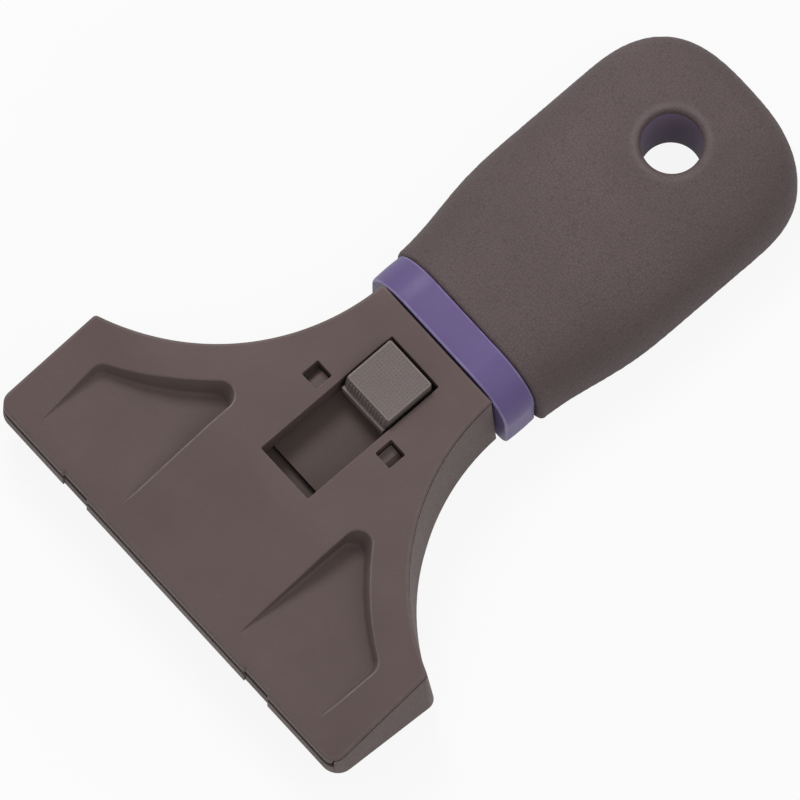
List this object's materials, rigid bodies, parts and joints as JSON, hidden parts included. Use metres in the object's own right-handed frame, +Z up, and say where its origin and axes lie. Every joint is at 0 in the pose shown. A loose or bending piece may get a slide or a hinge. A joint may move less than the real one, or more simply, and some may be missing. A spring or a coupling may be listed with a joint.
{
  "type": "algae scraper",
  "caption": "Hand-held algae scraper: wide T-shaped head with a slide-out blade, raised thumb button, collar band and soft palm grip with a hanging hole.",
  "frame": {"origin": "on the surface it lies on, under the middle of its length and width", "axes": "+X along the blade, +Y from the blade towards the grip's end, +Z up out of the face with the button"},
  "size_m": [0.1116, 0.1694, 0.0265],
  "materials": {
    "head_plastic": "dark warm grey-brown moulded plastic, satin",
    "carrier_plastic": "dark moulded plastic",
    "button_plastic": "lighter grey plastic with a fine stippled pad",
    "purple_plastic": "purple moulded plastic, satin",
    "grip_rubber": "dark grey-brown soft rubber with a fine pebble",
    "blade_steel": "stainless strip with a ground edge",
    "stainless": "stainless steel"
  },
  "bodies": {
    "housing": {"head_front_shell": "head_plastic", "head_rear_shell": "head_plastic", "shell_screws": "stainless", "handle_core": "purple_plastic", "tang_screws": "stainless", "collar_ring": "purple_plastic", "grip_sleeve": "grip_rubber", "hang_hole_liner": "purple_plastic"},
    "blade_set": {"blade_carrier": "carrier_plastic", "scraper_blade": "blade_steel", "blade_clamp": "stainless", "clamp_screws": "stainless", "button_spring": "stainless", "detent_spring": "stainless"},
    "button": {"thumb_button": "button_plastic"}
  },
  "joints": [
    {"name": "blade_slide", "type": "slide", "parent": "housing", "child": "blade_set", "axis": [0, -1, 0], "range_m": [0, 0.017], "deforming": ["detent_spring"]},
    {"name": "button_press", "type": "slide", "parent": "blade_set", "child": "button", "axis": [0, 0, -1], "range_m": [0, 0.0018], "stiffness_N_per_m": 400, "springref_m": -0.002, "deforming": ["button_spring"]}
  ]
}
